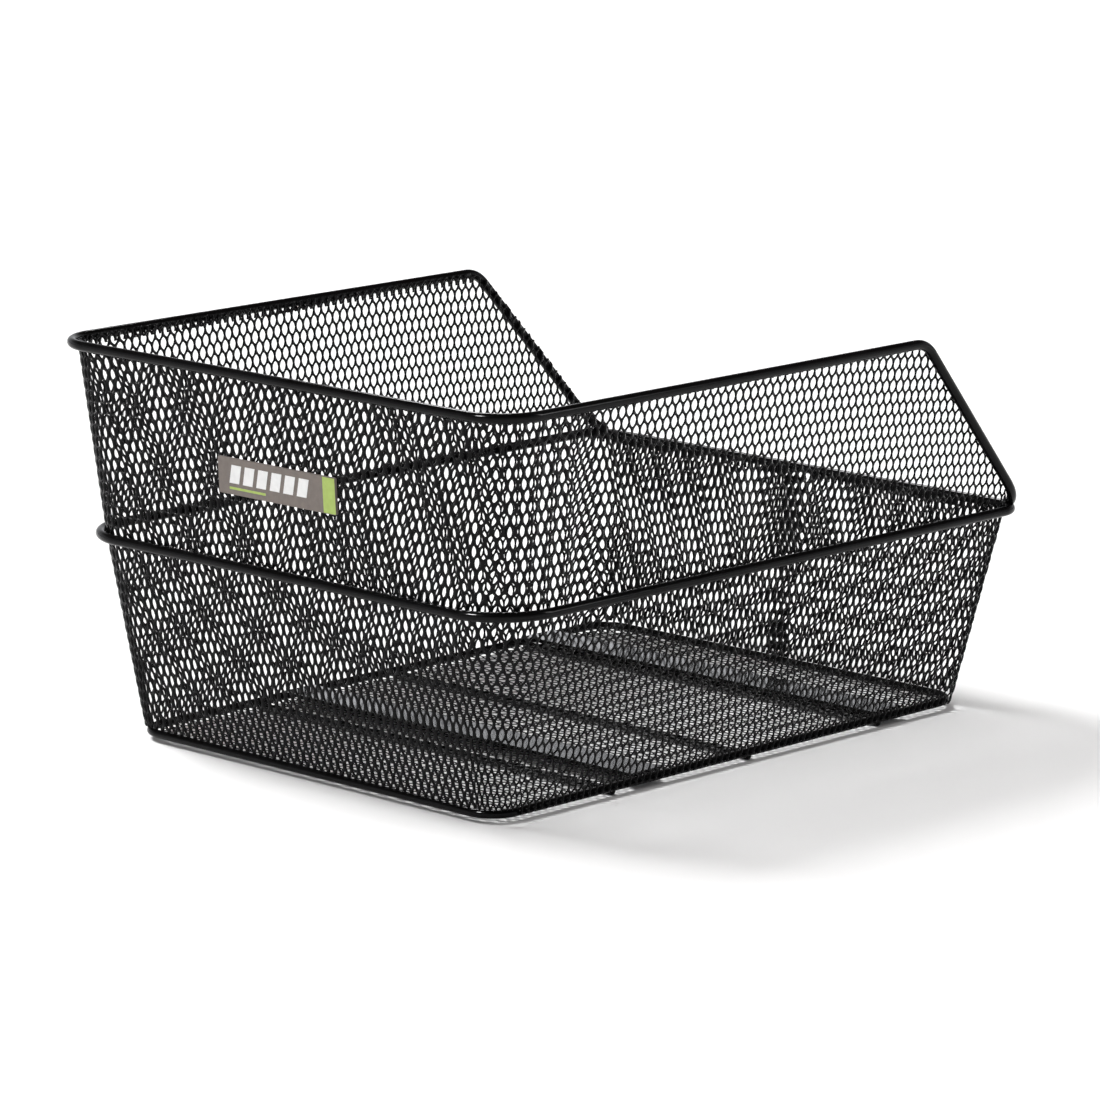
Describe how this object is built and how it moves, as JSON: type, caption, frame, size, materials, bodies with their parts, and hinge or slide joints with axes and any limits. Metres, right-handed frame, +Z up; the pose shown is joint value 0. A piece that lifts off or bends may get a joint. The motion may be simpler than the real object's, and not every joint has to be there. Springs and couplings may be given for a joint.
{
  "type": "bicycle rear carrier basket",
  "caption": "Open basket of black expanded-metal mesh on a round-wire frame, with a low cut-away front wall, a waist ring, mounting strips on the floor and a plain badge on the rear wall.",
  "frame": {"origin": "centre of the bounding box in plan, on the ground under the cross wires", "axes": "+X towards the low front wall, +Y to the left, +Z up"},
  "size_m": [0.4581, 0.378, 0.2409],
  "materials": {
    "black_coat": "gloss",
    "black_mesh": "gloss",
    "badge_paint": "satin",
    "screw_steel": "satin"
  },
  "bodies": {
    "root": {"rim_wire": "black_coat", "ring_wire": "black_coat", "base_frame_wire": "black_coat", "cross_wire_rear": "black_coat", "cross_wire_middle": "black_coat", "cross_wire_front": "black_coat", "left_wall_mesh": "black_mesh", "right_wall_mesh": "black_mesh", "rear_wall_mesh": "black_mesh", "front_wall_mesh_left": "black_mesh", "front_wall_mesh_right": "black_mesh", "floor_mesh": "black_mesh", "mounting_strip_rear": "black_coat", "mounting_strip_front": "black_coat", "badge_plate": "badge_paint", "badge_backing_plate": "black_coat", "badge_screw_left": "screw_steel", "badge_screw_right": "screw_steel"}
  },
  "joints": []
}
